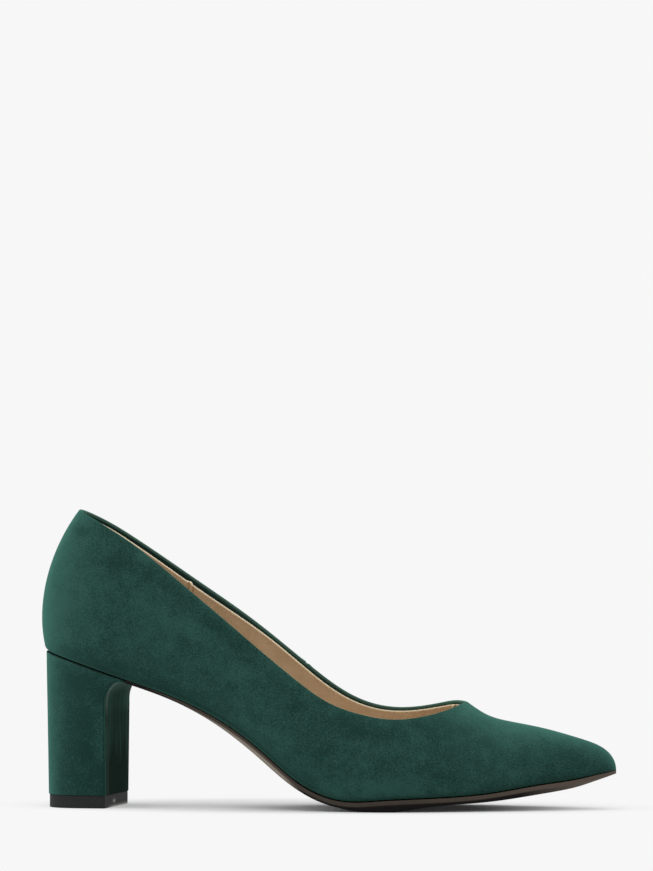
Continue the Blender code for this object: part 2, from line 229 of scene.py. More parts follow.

# Places where the suede is lighter, with a tone above 0, or darker, with one below 0: mostly where the nap
# stands up or lies smooth, but some are painted light and shade. Each has its middle, half its length, half
# its width and the angle in degrees at which it falls to the toe.
NAP_MARKS = table(
    "station height length width fall tone",
    # Partly painted sheen, here and at station 16: the back of the counter is lighter where light grazes it.
    (6, 80, 14, 9, 90, 0.8),
    (18, 118.5, 4, 2, 20, -0.7),
    (16, 95, 18, 9, 80, 0.6),
    (52, 98.3, 18, 3.2, 30, -0.4),
    (32, 92, 9, 7, 60, 0.35),
    (36, 104, 9, 4.5, 75, -0.4),
    (25, 112, 5, 4, 60, 0.3),
    (48, 107, 7, 2.5, 32, 0.4),
    (75, 88.5, 20, 2.5, 37, 0.6),
    (83, 74.5, 14, 3.4, 38, -0.65),
    (68, 76, 9, 4, 25, 0.5),
    (34, 60.5, 14, 3, 17, -0.6),
    (102, 62, 6, 3, 42, 0.3),
    (89, 58, 11, 5, 30, 0.35),
    (58, 80, 8, 5, 25, 0.25),
    (43, 70, 12, 6, 15, 0.3),
    (112, 47, 9, 3.5, 32, -0.4),
    (124, 40.5, 7, 3, 25, -0.4),
    (126, 24, 8, 6, 40, -0.45),
    (143, 34.5, 11, 4, 18, -0.8),
    (172, 36, 11, 3.2, -8, -0.55),
    (153, 10.5, 17, 4.5, -3, 0.8),
    (179, 33, 8, 3, -15, -0.35),
    (175, 15, 15, 3, 0, -0.35),
    (179, 25, 10, 5, 0, -0.35),
    (183, 42, 5, 4, 0, 0.5),
    (202, 30, 8, 4, 65, 0.5),
    (216, 32, 18, 4, 16, 0.45),
    (209, 17, 12, 3, -8, 0.4),
    (238, 21, 9, 4, 35, 0.1),
    (218, 18, 15, 4, -5, -0.4),
    (228, 23.5, 12, 3.5, 22, -0.5),
    (196, 27, 12, 4, 25, -0.35),
    # Painted shade along the foot of the upper: over the heel seat, and where the side turns under at the
    # waist.
    (14, 67, 12, 2.5, 17, -0.6),
    (60, 50, 18, 4, 25, -0.8),
    (80, 39, 16, 4, 34, -0.7),
    (101, 24, 14, 4.5, 40, -1.0),
    (115, 13.5, 10, 4, 36, -0.9),
    (226, 14.5, 14, 2, -12, -0.4),
    (29, 34, 13, 3, 90, 0.3),
    (22, 41, 6, 4, 80, -0.35),
    (21, 24, 8, 5, 75, -0.3),
    (28, 14, 5, 4, 60, -0.4),
    (22, 9, 9, 4, 0, -0.5),
    (31, 43, 5, 3, 90, -0.5),
    (36, 47, 7, 3, -50, 0.9),
    (21, 30, 30, 13, 90, -0.6),
    (33, 10, 13, 4, 90, -0.5),
    (20, 53, 18, 5, 17, -0.6),
)


# Curves of the last

def spline(knots, values, at, flat_start=False):
    """Natural cubic spline through values at knots, level at the first one if flat_start is set."""
    at = np.asarray(at, float)
    steps = np.diff(knots)
    slopes = np.diff(values) / steps
    system = np.eye(len(knots))
    right = np.zeros(len(knots))
    for i in range(1, len(knots) - 1):
        system[i, i - 1:i + 2] = steps[i - 1], 2 * (steps[i - 1] + steps[i]), steps[i]
        right[i] = 6 * (slopes[i] - slopes[i - 1])
    if flat_start:
        system[0, :2] = 2 * steps[0], steps[0]
        right[0] = 6 * slopes[0]
    bend = np.linalg.solve(system, right)
    i = np.clip(np.searchsorted(knots, at) - 1, 0, len(knots) - 2)
    after, before, step = at - knots[i], knots[i + 1] - at, steps[i]
    cubic = (bend[i] * before**3 + bend[i + 1] * after**3) / (6 * step)
    left = (values[i] / step - bend[i] * step / 6) * before
    return cubic + left + (values[i + 1] / step - bend[i + 1] * step / 6) * after


def toe_angle(station):
    """Station as an angle that slows towards the toe, so that widths which end at 0 make a round tip."""
    return np.arccos(np.clip(1 - 2 * station / LENGTH, -1, 1))


def section(name, station):
    """One measure of the cross-sections at any station in front of the heel cup's widest place."""
    return spline(toe_angle(SECTIONS.station), getattr(SECTIONS, name), toe_angle(station), flat_start=True)


def bottom(name, station):
    """One measure of the bottom's side view at any station."""
    return spline(BOTTOM.station, getattr(BOTTOM, name), station)


def topline(station, side):
    """Height of the opening's edge at any station behind the throat, on one side."""
    return spline(TOPLINE.station, TOPLINE.outer if side == OUTER else TOPLINE.inner, station)


def bezier(start, first, second, end, share):
    """Cubic curve from start to end, pulled by two handles."""
    rest = 1 - share
    return start * rest**3 + 3 * first * share * rest**2 + 3 * second * share**2 * rest + end * share**3


def edge_height(station, across):
    """Height of the bottom at a station; across is -1 at the outer edge and 1 at the inner one."""
    share = np.clip((station - ARCH_FROM) / (ARCH_TO - ARCH_FROM), 0, 1)
    arch = ARCH_RISE * np.sin(np.pi * share) ** 2
    return bottom("height", station) + arch * (1 + across) / 2


def stretch(station):
    """Upright height of a layer of unit thickness that lies on the slope of the bottom."""
    slope = bottom("height", station + 0.5) - bottom("height", station - 0.5)
    return np.sqrt(1 + slope**2)


def skin(run, level, side):
    """Points of the last's surface on one side: a cubic curve at each station, swung round the heel cup.

    run is the station, but behind the heel station it turns round the back of the heel cup instead.
    level is -2 at the edge of the turned-in margin, -1 where it starts to round, 0 at the foot of the
    side and 1 at the crest.
    """
    run, level, side = np.broadcast_arrays(run, level, side)
    widest = np.maximum(run, HEEL_STATION)
    turn = np.clip(run / HEEL_STATION, 0, 1) * np.pi / 2
    feather = np.maximum(section("feather", widest), 0)
    shrink = np.clip(feather / MARGIN_CLOSES_BELOW, 0, 1)
    radius, margin = FEATHER_RADIUS * shrink, LASTING_MARGIN * shrink
    crest_up = section("crest_up", widest)
    crest = np.where(widest >= THROAT_STATION, 0, section("crest", widest))
    drop = np.maximum(section("shoulder_drop", widest), 0)

    share = np.clip(level, 0, 1)
    bulge = feather + section("bulge_out", widest)
    wall = bezier(feather, bulge, section("shoulder", widest), crest, share)
    rise = bezier(radius, section("bulge_up", widest), crest_up - drop, crest_up, share)
    rounding = np.clip(level + 1, 0, 1) * np.pi / 2
    inset = radius * (1 - np.sin(rounding)) + (margin - radius) * np.clip(-1 - level, 0, 1)
    lift = np.where(level < 0, radius * (1 - np.cos(rounding)), rise)

    back = bezier(*BACK_CURVE, share) + inset
    station = np.where(run < HEEL_STATION, HEEL_STATION - (HEEL_STATION - back) * np.cos(turn), run)
    half = (wall - inset) * np.sin(turn)
    height = edge_height(station, side * (1 - inset / np.maximum(feather, GAP))) + lift
    return np.stack([station, section("centre", widest) + side * half, height], axis=-1)


def outline(station, inset, toe_inset):
    """Outer and inner edge of the last's bottom at a station, moved in by inset and shorter at the toe."""
    share = np.clip((station - HEEL_STATION) / (LENGTH - toe_inset - HEEL_STATION), 0, 1)
    at = np.clip(station + toe_inset * share**3, HEEL_STATION, LENGTH)
    feather = np.maximum(section("feather", at), 0)
    feather = feather - inset * np.clip(feather / FULL_INSET_ABOVE, 0, 1)
    behind = np.clip((HEEL_STATION - station) / (HEEL_STATION - BACK_CURVE[0] - inset), 0, 1)
    half = feather * np.sqrt(1 - behind**2)
    return section("centre", at) - half, section("centre", at) + half


def quarter(points):
    """Angles of a quarter turn."""
    return np.linspace(0, np.pi / 2, points)


def hill(at, middle, reach):
    """Bell curve of height 1 that is down to a third at reach from its middle."""
    return np.exp(-((at - middle) / reach) ** 2)


def form(at, middle, shape):
    """A soft form across its middle line: a bell curve."""
    return shape.height * hill(at, middle, shape.reach)


def between(ends, share):
    """Value at a share of the way from one end to the other."""
    return ends[0] + (ends[1] - ends[0]) * share


def rise_between(at, start, end):
    """Smooth step from 0 at start to 1 at end."""
    share = np.clip((at - start) / (end - start), 0, 1)
    return share * share * (3 - 2 * share)


def plateau(at, places):
    """Smooth plateau of height 1: up between the first two of four places, down between the last two."""
    return rise_between(at, *places[:2]) * (1 - rise_between(at, *places[2:]))


def brushed(points):
    """Sum of the nap marks at points of the suede: bell curves, longer along their lines than across."""
    total = np.zeros(points.shape[:-1])
    for station, height, length, width, fall, tone in zip(*NAP_MARKS):
        ahead, up, fall = points[..., 0] - station, points[..., 2] - height, np.radians(fall)
        along = ahead * np.cos(fall) - up * np.sin(fall)
        across = ahead * np.sin(fall) + up * np.cos(fall)
        total += tone * hill(along, 0, length) * hill(across, 0, width)
    return total


# Meshes from grids of points

WELD = 0.004
SHARP_ANGLE = 50  # degrees
ROUND_POINTS = 5  # on the quarter circle of a soft edge
BREAK_POINTS = 4  # and of a small one


def quads_of(grid, start=0):
    """Quads that join the rows of a grid of points, counted from start."""
    index = start + np.arange(grid[..., 0].size).reshape(grid.shape[:2])
    corners = index[:-1, :-1], index[:-1, 1:], index[1:, 1:], index[1:, :-1]
    return np.stack(corners, axis=-1).reshape(-1, 4)


def link(name, data):
    """Puts a new object in the scene, at the origin."""
    made = bpy.data.objects.new(name, data)
    bpy.context.scene.collection.objects.link(made)
    return made


def blank(patches):
    """A zero for every point of the patches."""
    return [np.zeros(patch.shape[:2]) for patch in patches]


def add_piece(name, patches, materials, stands_for, marks=None):
    """Makes one closed piece from grids of points, whose rows are joined by quads and whose rims are welded.

    There is one material for all patches or one for each. marks gives named numbers for the points of every
    patch, which the materials read as attributes.
    """
    starts = np.cumsum([0] + [patch[..., 0].size for patch in patches])
    quads = [quads_of(patch, start) for patch, start in zip(patches, starts)]
    points = np.concatenate([patch.reshape(-1, 3) for patch in patches]) - (LENGTH / 2, MIDDLE_SIDE, 0)
    data = bpy.data.meshes.new(name)
    data.from_pydata((points * MM).tolist(), [], np.concatenate(quads).tolist())
    for mark, values in (marks or {}).items():
        numbers = data.attributes.new(mark, "FLOAT", "POINT")
        numbers.data.foreach_set("value", np.concatenate([np.ravel(value) for value in values]).astype("f"))
    for material in materials:
        data.materials.append(material)
    if len(materials) > 1:
        choice = np.repeat(np.arange(len(patches)), [len(part) for part in quads])
        data.polygons.foreach_set("material_index", choice.astype("i"))
    mesh = bmesh.new()
    mesh.from_mesh(data)
    bmesh.ops.remove_doubles(mesh, verts=mesh.verts, dist=WELD * MM)
    bmesh.ops.recalc_face_normals(mesh, faces=mesh.faces)
    mesh.to_mesh(data)
    mesh.free()
    data.shade_smooth()
    data.set_sharp_from_angle(angle=np.radians(SHARP_ANGLE))
    piece = link(name, data)
    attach(piece, "root")
    if stands_for:
        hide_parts(stands_for)


# Sheets of leather on the last

HEEL_STEPS = 30
SIDE_STEPS = 140
VAMP_STEPS = 60
WALL_STEPS = 60
MARGIN_STEPS = 4
ROUND_STEPS = 7
PRESSED_STEPS = 6  # of the two above, those under the shoe where the suede is pressed flat
COARSE_STEP = 4  # one row in this many is kept on a smooth or hidden face
EDGE_CROWDING = 1.5  # power by which steps crowd towards the edge and the throat
CUT_LINE_POINTS = 400
LEVEL_POINTS = 300
SMALL_STEP = 0.01
TINY = 1e-9


def unit(vectors):
    """Vectors of length 1."""
    return vectors / np.maximum(np.linalg.norm(vectors, axis=-1, keepdims=True), TINY)


def walk(throat):
    """Runs and sides of a sheet's columns: from the toe along the outer side, back along the inner one."""
    heel = np.linspace(0, HEEL_STATION, HEEL_STEPS + 1)
    crowded = 1 - np.linspace(1, 0, SIDE_STEPS + 1)[1:] ** EDGE_CROWDING
    side = HEEL_STATION + (throat - HEEL_STATION) * crowded
    vamp = throat + (LENGTH - throat) * np.sin(quarter(VAMP_STEPS + 1)[1:])
    seams = [
        np.arange(seam - SEAM_REACH, seam + SEAM_REACH, SEAM_STEP)
        for seam in (SUEDE_SEAM_STATION, LINING_SEAM_STATION, THROAT_SEAM_STATION)
    ]
    run = np.unique(np.concatenate([heel, side, vamp, *seams]))
    sides = np.repeat([OUTER, INNER], [len(run) - 1, len(run)])
    return np.concatenate([run[:0:-1], run]), sides


def cut_line(side, drop):
    """Stations and heights of the opening's edge, moved down square to itself by drop."""
    station = np.linspace(0, THROAT_STATION, CUT_LINE_POINTS)
    height = topline(station, side)
    slope = np.gradient(height, station)
    shift = drop(station) / np.sqrt(1 + slope**2)
    front = THROAT_STATION + drop(THROAT_STATION)
    moved = np.append(np.minimum(station + slope * shift, front - SMALL_STEP), front)
    lowered = np.append(height - shift, edge_height(front, 0) + section("crest_up", front))
    return np.maximum.accumulate(moved), lowered


def cut_level(run, side, drop, throat):
    """Level at which each column ends: at the cut line, or at the crest past the throat."""
    levels = np.linspace(0, 1, LEVEL_POINTS)
    points = skin(run[:, None], levels, side[:, None])
    edges = [np.interp(points[..., 0], *cut_line(which, drop)) for which in (OUTER, INNER)]
    short = np.where(side[:, None] == OUTER, edges[0], edges[1]) - points[..., 2]
    reached = short <= 0
    reached[:, -1] = True
    last = np.maximum(np.argmax(reached, axis=1), 1)
    rows = np.arange(len(run))
    before, after = short[rows, last - 1], short[rows, last]
    share = np.clip(before / np.where(before == after, 1, before - after), 0, 1)
    return np.where(run >= throat, 1, levels[last - 1] + share * levels[1])


def sheet_on_last(drop):
    """Grid of a sheet on the last that ends drop below the opening's edge, with its normals and columns.

    The normals are the cross product of the steps along and across the grid. Past the throat both sides meet
    on the crest, so there the step across reaches over to the other side's next row. away is the distance
    from the edge.
    """
    throat = THROAT_STATION + float(drop(THROAT_STATION))
    run, side = walk(throat)
    top = cut_level(run, side, drop, throat)
    margin, rounding = np.linspace(-2, -1, MARGIN_STEPS + 1), np.linspace(-1, 0, ROUND_STEPS + 1)
    under = np.concatenate([margin[:-1], rounding[:-1]])
    wall = top[:, None] * (1 - np.linspace(1, 0, WALL_STEPS + 1) ** EDGE_CROWDING)
    levels = np.concatenate([np.broadcast_to(under, (len(run), len(under))), wall], axis=1)
    points = skin(run[:, None], levels, side[:, None])
    vamp = (run >= throat)[:, None]
    over = np.where(vamp, points[::-1, -2], 2 * points[:, -1] - points[:, -2])
    below = 2 * points[:, 0] - points[:, 1]
    padded = np.concatenate([below[:, None], points, over[:, None]], axis=1)
    normals = np.cross(padded[:, 2:] - padded[:, :-2], np.gradient(points, axis=0))
    feather = np.maximum(section("feather", np.maximum(run, HEEL_STATION)), 0)
    closed = (feather <= MARGIN_CLOSES_BELOW)[:, None]
    normals = unit(normals)
    normals[:, -1] = np.where(vamp, normals[:, -1] + normals[::-1, -1], normals[:, -1])
    normals[:, 0] = np.where(closed, normals[:, 0] + normals[::-1, 0], normals[:, 0])
    normals[[0, -1]] = (1, 0, 0)
    normals = unit(normals)
    steps = np.linalg.norm(np.diff(points, axis=1), axis=-1)
    away = np.concatenate([np.cumsum(steps[:, ::-1], axis=1)[:, ::-1], np.zeros((len(run), 1))], axis=1)
    return points, normals, away, run, side, feather, throat


def leather_sheet(drop, outside, inside, swell=None, dent=None, roll_steps=9):
    """A sheet of leather on the last, from the turned-in margin to the opening.

    outside and inside are its depths under the last, smaller at the toe tip. The edge is a half circle
    between the two faces, carried round the opening. swell gives the lift of the outer face from points,
    distance below the edge and side, and dent that of the inner face from points. Returns the patches, and
    how much the points of each belong to the cut edge and to the painted shade inside the fold.
    """
    points, normals, away, run, side, feather, throat = sheet_on_last(drop)
    thin = np.clip(feather / FULL_WALL_ABOVE, THINNEST_WALL, 1)[:, None, None]
    lift = swell(points, away, side[:, None])[..., None] if swell else 0
    sink = dent(points)[..., None] if dent else 0
    outer = points - normals * (outside - lift) * thin
    inner = points - normals * (inside + sink) * thin
    near_edge = np.arange(points.shape[1] - COARSE_STEP, points.shape[1])
    coarse = np.unique(np.append(np.arange(0, points.shape[1], COARSE_STEP), near_edge))

    opening = np.flatnonzero(run <= throat)
    rim_out, rim_in, rim_normal = outer[opening, -1], inner[opening, -1], normals[opening, -1]
    loop = rim_out[:-1]
    along = np.roll(loop, -1, axis=0) - np.roll(loop, 1, axis=0)
    along = np.concatenate([along, along[:1]])
    upward = unit(np.cross(along, rim_normal))
    turn = np.linspace(0, np.pi, roll_steps)[None, :, None]
    middle, spoke = (rim_out + rim_in)[:, None] / 2, (rim_out - rim_in)[:, None] / 2
    reach = np.linalg.norm(spoke, axis=-1, keepdims=True)
    roll = middle + np.cos(turn) * spoke + np.sin(turn) * reach * upward[:, None]

    open_under = np.flatnonzero(feather > MARGIN_CLOSES_BELOW)
    open_under = np.arange(open_under[0] - 1, open_under[-1] + 2)
    hem = np.stack([inner[open_under, 0], outer[open_under, 0]], axis=1)

    outer_rows, inner_rows = (slice(None), coarse) if dent is None else (coarse, slice(None))
    patches = [outer[:, outer_rows], inner[::-1, inner_rows], roll, hem]
    below_edge = np.where((run <= throat)[:, None], away, np.inf)[::-1, inner_rows]
    cut, back = blank(patches), blank(patches)
    cut[1] += 1 - rise_between(below_edge, 0, CUT_BAND)
    cut[2] += 1
    # Painted shade on the recessed inside of the fold, below the band where the nap goes on.
    back[1] += rise_between(below_edge, FOLD_BAND - FOLD_BLEND, FOLD_BAND + FOLD_BLEND)
    return patches, cut, back


def make_upper(napped, pressed):
    """Suede upper with a folded edge, a seam on the inner side and a soft crease under the collar.

    Painted shade darkens its foot, and its turned-in margin is pressed flat, with painted shade where no
    light gets at it.
    """
    def creases(points, away, side):
        station = points[..., 0]
        fold = form(away, CREASE_BELOW, CREASE) * plateau(station, COLLAR_CREASE)
        seam = sum(form(station, SUEDE_SEAM_STATION, shape) for shape in (SUEDE_RIDGE, SUEDE_GROOVE))
        return fold + np.where(side == INNER, seam, 0)

    sheet, _, back = leather_sheet(lambda station: 0 * station, 0.0, SUEDE, swell=creases)
    wall, margin = sheet[0][:, PRESSED_STEPS:], sheet[0][:, :PRESSED_STEPS + 1]
    patches = [wall, *sheet[1:], margin]
    # Painted shade on the pressed margin, but not at the waist where light gets at it.
    unlit = MARGIN_SHADE * (1 - plateau(margin[..., 0], WAIST))
    back = [back[0][:, PRESSED_STEPS:], *back[1:], unlit]
    nap = [brushed(patch) for patch in patches]
    over = np.linspace(0, 1, patches[2].shape[1])
    painted_highlight = blank(patches)
    # Painted highlight: the inside of the fold and the crest of its roll are paler, where light falls on
    # them.
    painted_highlight[1] += 1
    painted_highlight[2] += rise_between(over, *FOLD_PALES)
    # Painted shade on the foot of the upper, darkest in the line over the heel.
    lift = wall[..., 2] - edge_height(wall[..., 0], np.sign(wall[..., 1]))
    over_heel = 1 - rise_between(wall[..., 0], *FOOT_CLEARS)
    back[0] += (1 - rise_between(lift, *FOOT_FADES)) * between((FOOT_SHADE, 1), over_heel)
    marks = {"nap": nap, "painted_highlight": painted_highlight, "back": back}
    add_piece("suede_upper", patches, [napped] * 4 + [pressed], "upper", marks)


def make_lining(material):
    """Leather lining inside the suede: its cut edge faces up below the fold, and two seams run down from it.

    Each seam is a flat ridge. The rear one has a groove along both sides, the one at the throat in front.
    """
    def drop(station):
        line = spline(LINING_EDGE.station, LINING_EDGE.drop, station)
        return line + form(station, LINING_SEAM_STATION, LINING_NOTCH)

    def along_seams(points):
        below = np.maximum(topline(points[..., 0], INNER) - points[..., 2], 0)
        return points[..., 0] + SEAM_LEAN * (1 - np.exp(-below / SEAM_LEAN_DEPTH))

    def grooves(points):
        sides = LINING_SEAM_STATION - SEAM_HALF_WIDTH, LINING_SEAM_STATION + SEAM_HALF_WIDTH
        along = along_seams(points)
        return sum(hill(along, groove, LINING_GROOVE.reach) for groove in (*sides, THROAT_GROOVE_STATION))

    def seams(points):
        along = along_seams(points)
        at_side = form(along, LINING_SEAM_STATION, LINING_RIDGE)
        at_throat = form(along, THROAT_SEAM_STATION, THROAT_RIDGE)
        return at_side + at_throat + LINING_GROOVE.height * grooves(points)

    outside = SUEDE + LINING_GAP
    patches, cut, _ = leather_sheet(drop, outside, outside + LINING, dent=seams, roll_steps=7)
    # The seams' grooves are darker: stitching and painted shade.
    marks = {"cut_edge": cut, "seam_stitches_and_shade": [grooves(patch) for patch in patches]}
    add_piece("lining", patches, [material], None, marks)


# Layers of the bottom

ACROSS_POINTS = 25
BACK_STEPS = 24
SOCK_STEPS = 120
SOLE_STEPS = 260
BAND_POINTS = 4
UNDER_POINTS = 7


def layer(stations, inset, toe_inset, top, low, profile):
    """Grid of a layer that follows the bottom: at each station a closed ring round its cross-section.

    profile gives the edge from top to bottom as rows of share of the thickness and inset. The ring crosses
    the top from the outer to the inner side, follows the edge down, crosses the underside and comes up.
    """
    def whole_ring(edge):
        flat = np.ones(ACROSS_POINTS)
        return np.concatenate([edge[0] * flat, edge, edge[-1] * flat, edge[::-1], edge[:1]])

    ring_share, ring_cut = [whole_ring(edge) for edge in np.array(profile).T]
    across, edge = np.linspace(-1, 1, ACROSS_POINTS), np.ones(len(profile))
    ring_across = np.concatenate([across, edge, across[::-1], -edge, across[:1]])
    station = stations[:, None]
    low_edge, high_edge = outline(station, inset[:, None] + ring_cut, toe_inset)
    y = (low_edge + high_edge) / 2 + ring_across * (high_edge - low_edge) / 2
    upper, lower = top(station, ring_across), low(station, ring_across)
    z = upper + (lower - upper) * ring_share
    return np.stack([np.broadcast_to(station, y.shape), y, z], axis=-1), np.broadcast_to(ring_share, y.shape)


def forward_stations(start, end, steps):
    """Stations from start to end, closer together towards the toe tip."""
    return start + (end - start) * np.sin(quarter(steps + 1))


def rounded_edge(share, inset, points):
    """Quarter round at the top of an edge's profile, over a share of the thickness."""
    turn = quarter(points)
    return list(zip(share * (1 - np.cos(turn)), inset * (1 - np.sin(turn))))


def make_sock(material):
    """Leather sock on the insole board, with a soft edge, lying on the turned-in margin of the upper."""
    reach = HEEL_STATION - BACK_CURVE[0] - INSOLE_INSET
    heel = HEEL_STATION - reach * np.cos(quarter(BACK_STEPS + 1)[:-1])
    stations = np.concatenate([heel, forward_stations(HEEL_STATION, LENGTH - INSOLE_TOE_INSET, SOCK_STEPS)])

    def low(station, across):
        return edge_height(station, across) + (WALL + GAP) * stretch(station)

    def top(station, across):
        return low(station, across) + INSOLE_THICKNESS * stretch(station)

    rounded = rounded_edge(SOCK_ROUND_SHARE, SOCK_ROUND, ROUND_POINTS)
    profile = rounded + [(SOCK_UPRIGHT_SHARE, 0.0), (1.0, INSOLE_CHAMFER)]
    grid, _ = layer(stations, np.full_like(stations, INSOLE_INSET), INSOLE_TOE_INSET, top, low, profile)
    add_piece("insole_sock", [grid], [material], "insole")


def make_outsole(material):
    """Thin sole with an upright edge band that rounds under, from the heel's lip to the toe."""
    stations = forward_stations(SOLE_REAR_STATION, LENGTH, SOLE_STEPS)
    narrow = np.clip((SOLE_FULL_FROM - stations) / (SOLE_FULL_FROM - SOLE_NARROW_TO), 0, 1)
    inset = -SOLE_PROUD + (SOLE_PROUD + SOLE_WAIST_INSET - SOLE_WAIST_LIP) * narrow

    def top(station, across):
        closed = SOLE_CLOSED * np.maximum(plateau(station, WAIST), rise_between(station, *SOLE_CLOSES))
        return edge_height(station, across) - GAP * stretch(station) * (1 - closed)

    def low(station, across):
        thickness = bottom("sole", station) + SOLE_CLOSED * GAP * plateau(station, WAIST)
        return np.maximum(top(station, across) - thickness * stretch(station), 0)

    corner = rounded_edge(SOLE_ROUND_SHARE, SOLE_EDGE_ROUND, BREAK_POINTS)
    band = [(share, 0.0) for share in np.linspace(2 * SOLE_ROUND_SHARE, SOLE_EDGE_SHARE, BAND_POINTS)]
    under = [
        (SOLE_EDGE_SHARE + (1 - SOLE_EDGE_SHARE) * np.sin(t), SOLE_EDGE_BEVEL * (1 - np.cos(t)))
        for t in quarter(UNDER_POINTS)[1:]
    ]
    grid, share = layer(stations, inset, 0.0, top, low, corner + band + under)
    rear = np.stack([np.broadcast_to(grid[0].mean(axis=0), grid[0].shape), grid[0]])
    thick = (top(stations, 0) - low(stations, 0))[:, None]
    down = share * thick / np.minimum(SOLE_BAND, SOLE_BAND_SHARE * thick)
    down = down + SOLE_REAR_DARK * (1 - rise_between(stations, *SOLE_CLEARS))[:, None]
    low_y, high_y = grid[..., 1].min(axis=1, keepdims=True), grid[..., 1].max(axis=1, keepdims=True)
    width = np.maximum(high_y - low_y, GAP)
    outermost = rise_between(np.abs(2 * grid[..., 1] - low_y - high_y) / width, *SOLE_SIDES)
    bare = plateau(stations, BARE_EDGE)[:, None] * outermost * rise_between(down, *WAX_ENDS)
    marks = {"down_edge": [down, np.stack([down[0], down[0]])], "bare": [bare, 0 * rear[..., 0]]}
    add_piece("outsole_edge", [grid, rear], [material], "outsole", marks)


# Heel

BREAST_STEPS = 16
CORNER_STEPS = 6
BLOCK_SIDE_POINTS = 8
BLOCK_BACK_POINTS = 29
UPRIGHT_POINTS = 40
FLARE_POINTS = 30
TIP_POINTS = 12
CAP_SHARES = np.array([0.0, 0.3, 0.6, 0.85])
EDGE_SHADE_TONES = (0.4, 1.6)  # painted shade on the side round the breast's edges, below and at its curve
BREAST_LIGHT_TONE = 0.5  # how much painted light pales the breast where it curves forward
HIGHLIGHT_LINE = (3.0, 2.4)  # painted highlight inside the breast's edges: its distance from the edge, and reach
LINE_TONES = (0.2, 1.0)  # how pale that line is, below and at the curve
LINE_SHARES = (0.8, 0.2)  # and on the outer and the inner side
LIP_TONE = 0.3
TIP_FRONT = (-0.6, -0.2)  # the top piece's front begins and is complete, from its foremost line
PALE_EDGE = (0.0, 0.7)  # height and reach
PALE_SPOT = (-4.0, 2.0, 2.5, 0.7)  # side and reach, height and reach
SPOT_TONE = 0.85


def block_ring(share, inset, corner):
    """Plan of the heel block, a row for each share of its height: front line, corner, side and round back.

    The back is a superellipse, and a shear that fades out there and up the flare turns the breast. The ring
    runs from the middle of the breast round the outer side, the back and the inner side to the middle again.
    """
    share, inset = share[:, None], inset[:, None]
    rear, power = between(HEEL_REAR, share) + inset, between(HEEL_POWER, share)
    half = between(HEEL_HALF_WIDTH, share) - inset
    lip_start = 1 - BREAST_LIP / (bottom("height", SOLE_REAR_STATION) - TIP_HEIGHT)
    curve = np.clip((share - BREAST_FLARE_START) / (lip_start - BREAST_FLARE_START), 0, 1)
    front = BREAST_STATION + BREAST_FLARE * (1 - np.sqrt(1 - curve**2)) - inset
    foremost = front - corner - BREAST_SKEW * half - GAP
    begin = np.minimum(between(HEEL_ROUND, share), foremost)
    line, arc = np.linspace(0, 1, BREAST_STEPS), quarter(CORNER_STEPS + 1)
    side, turn = np.linspace(0, 1, BLOCK_SIDE_POINTS), quarter(BLOCK_BACK_POINTS)[::-1]
    stations = np.concatenate([
        front + 0 * line,
        front - corner + corner * np.cos(arc[1:]),
        front - corner + (begin - front + corner) * side[1:-1],
        begin - (begin - rear) * np.cos(turn) ** (2 / power),
    ], axis=1)
    halves = np.concatenate([
        (half - corner) * line,
        half - corner + corner * np.sin(arc[1:]),
        half + 0 * side[1:-1],
        half * np.sin(turn) ** (2 / power),
    ], axis=1)
    stations = np.concatenate([stations, stations[:, -2::-1]], axis=1)
    ys = np.concatenate([-halves, halves[:, -2::-1]], axis=1)
    ahead = np.clip((stations - begin) / (front - begin), 0, 1)
    return stations + BREAST_SKEW * (1 - curve) * ys * ahead, ys


def with_caps(*parts):
    """A value for each ring of a block, part by part, with its ends repeated for the rings that close it."""
    return np.pad(np.concatenate(parts), len(CAP_SHARES), "edge")


def closed_block(share, inset, corner):
    """Rings of the heel block, of which those at both ends shrink to their middle."""
    shrink = np.ones((len(share), 1))
    shrink[:len(CAP_SHARES), 0], shrink[-len(CAP_SHARES):, 0] = CAP_SHARES, CAP_SHARES[::-1]
    stations, ys = block_ring(share, inset, corner)
    middle = stations.mean(axis=1, keepdims=True)
    return middle + (stations - middle) * shrink, ys * shrink


